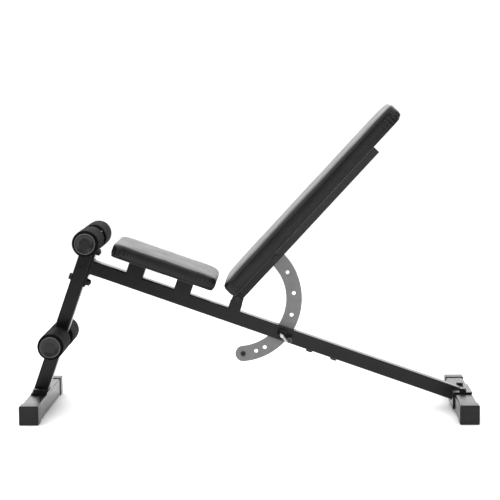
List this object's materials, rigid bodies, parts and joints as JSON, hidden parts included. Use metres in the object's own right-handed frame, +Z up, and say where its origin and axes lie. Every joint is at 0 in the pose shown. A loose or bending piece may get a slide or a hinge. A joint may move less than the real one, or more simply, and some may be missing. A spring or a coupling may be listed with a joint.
{
  "type": "decline sit-up bench",
  "caption": "Decline sit-up bench: sloping square-tube rail on two cross feet, padded seat, hinged padded backrest with indexing arc and pull pin, and foam leg rollers.",
  "frame": {"origin": "on the floor, midway between the two feet and on the bench's middle plane", "axes": "+X from the roller end towards the backrest end, +Y across the bench away from the lock pin's side, +Z up"},
  "size_m": [1.2606, 0.46, 0.8644],
  "materials": {
    "frame_paint": "satin",
    "arc_paint": "satin",
    "cap_plastic": "satin",
    "lock_plastic": "satin",
    "bush_nylon": "matte",
    "vinyl": "satin",
    "roller_foam": "matte",
    "backing_board": "matte",
    "fastener_zinc": "satin",
    "pin_steel": "polished",
    "spring_steel": "satin"
  },
  "bodies": {
    "frame": {"front_foot_tube": "frame_paint", "rear_foot_tube": "frame_paint", "front_foot_caps": "cap_plastic", "rear_foot_caps": "cap_plastic", "front_foot_bracket": "frame_paint", "rear_foot_bracket": "frame_paint", "front_foot_bolts": "fastener_zinc", "rear_foot_bolts": "fastener_zinc", "front_rivet_nuts": "fastener_zinc", "rear_rivet_nuts": "fastener_zinc", "upright": "frame_paint", "upright_plug": "cap_plastic", "rail_flange": "frame_paint", "flange_bolts": "fastener_zinc", "flange_washers": "fastener_zinc", "flange_nuts": "fastener_zinc", "front_rail": "frame_paint", "rear_rail": "frame_paint", "splice_sleeve": "frame_paint", "splice_bolts": "fastener_zinc", "splice_nuts": "fastener_zinc", "front_seat_bracket": "frame_paint", "rear_seat_bracket": "frame_paint", "seat_board": "backing_board", "seat_pad": "vinyl", "seat_screws": "fastener_zinc", "pivot_bracket": "frame_paint", "pivot_bolt": "fastener_zinc", "pivot_nut": "fastener_zinc", "upper_roller_bushes": "bush_nylon", "lower_roller_bushes": "bush_nylon", "lock_housing": "lock_plastic", "lock_housing_cap": "lock_plastic", "lock_spring": "spring_steel"},
    "backrest": {"backrest_channel": "frame_paint", "pivot_bushes": "bush_nylon", "backrest_board": "backing_board", "backrest_pad": "vinyl", "backrest_screws": "fastener_zinc", "adjustment_arc": "arc_paint", "arc_spacers": "fastener_zinc", "arc_bolt": "fastener_zinc", "arc_nut": "fastener_zinc", "arc_stop_bolt": "fastener_zinc", "arc_stop_nut": "fastener_zinc"},
    "lock_plunger": {"lock_pin": "pin_steel", "lock_handle": "pin_steel", "lock_knob": "lock_plastic"},
    "upper_roller": {"upper_roller_tube": "frame_paint", "upper_near_foam": "roller_foam", "upper_far_foam": "roller_foam", "upper_roller_caps": "cap_plastic"},
    "lower_roller": {"lower_roller_tube": "frame_paint", "lower_near_foam": "roller_foam", "lower_far_foam": "roller_foam", "lower_roller_caps": "cap_plastic"}
  },
  "joints": [
    {"name": "backrest_hinge", "type": "hinge", "parent": "frame", "child": "backrest", "pos_m": [-0.03436, 0, 0.31937], "axis": [0, -1, 0], "range_deg": [-66, 33]},
    {"name": "lock_slide", "type": "slide", "parent": "frame", "child": "lock_plunger", "axis": [0, 1, 0], "range_m": [0, 0.009], "stiffness_N_per_m": 500, "springref_m": 0.025, "deforming": ["lock_spring"]},
    {"name": "upper_roller_spin", "type": "hinge", "parent": "frame", "child": "upper_roller", "pos_m": [-0.44871, 0, 0.49368], "axis": [0, 1, 0], "continuous": true},
    {"name": "lower_roller_spin", "type": "hinge", "parent": "frame", "child": "lower_roller", "pos_m": [-0.55053, 0, 0.20617], "axis": [0, 1, 0], "continuous": true}
  ]
}
